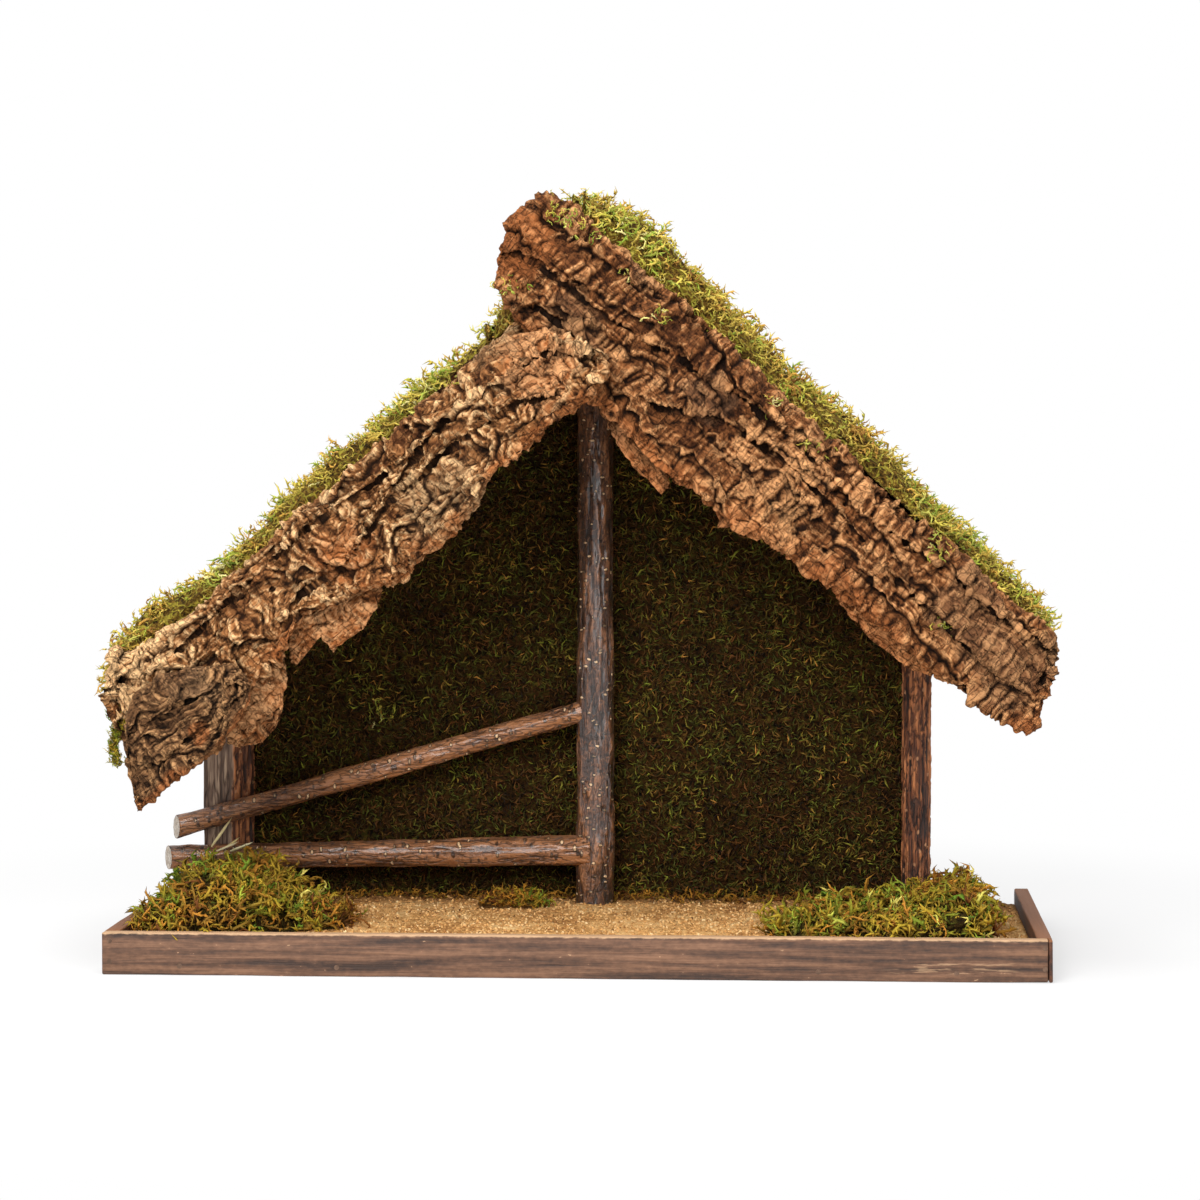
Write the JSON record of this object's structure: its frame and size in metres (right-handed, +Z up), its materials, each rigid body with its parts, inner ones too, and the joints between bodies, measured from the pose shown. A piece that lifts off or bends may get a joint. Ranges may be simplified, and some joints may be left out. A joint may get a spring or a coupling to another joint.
{
  "type": "nativity stable",
  "caption": "Rustic wooden crib stable: a tray with a crumb bed carries branch posts, a branch fence, a mossy back wall and a gabled roof of cork bark and moss, open at the front and sides.",
  "frame": {"origin": "middle of the tray's underside", "axes": "+X to the right as seen from the open front, +Y towards the back wall, +Z up"},
  "size_m": [0.454, 0.201, 0.3756],
  "materials": {
    "stained_wood": "grey-brown stain, worn along the top edges",
    "plain_wood": "unfinished board",
    "branch": "brown bark under a satin varnish",
    "cork_bark": "rough fissured cork bark, tan to red-brown",
    "moss": "dried moss, olive to ochre",
    "ground": "glued golden sawdust and cork crumbs",
    "steel": "plain steel"
  },
  "bodies": {
    "root": {"front_rail": "stained_wood", "back_rail": "stained_wood", "left_rail": "stained_wood", "right_rail": "stained_wood", "floor_board": "plain_wood", "back_panel": "plain_wood", "ridge_batten": "plain_wood", "left_roof_board": "plain_wood", "right_roof_board": "plain_wood", "left_front_rafter": "plain_wood", "right_front_rafter": "plain_wood", "left_post": "branch", "right_post": "branch", "centre_pole": "branch", "upper_fence_rail": "branch", "lower_fence_rail": "branch", "left_bark_sheet": "cork_bark", "right_bark_sheet": "cork_bark", "left_front_bark": "cork_bark", "right_front_bark": "cork_bark", "left_eave_bark": "cork_bark", "left_upper_chip": "cork_bark", "left_lower_chip": "cork_bark", "right_upper_chip": "cork_bark", "right_lower_chip": "cork_bark", "wall_moss": "moss", "left_roof_moss": "moss", "right_roof_moss": "moss", "ridge_moss": "moss", "left_ground_moss": "moss", "right_ground_moss": "moss", "pole_foot_moss": "moss", "ground_bed": "ground", "tray_brads": "steel", "fence_nails": "steel", "post_screws": "steel", "panel_brads": "steel", "roof_brads": "steel", "bark_brads": "steel", "fascia_brads": "steel"}
  },
  "joints": []
}
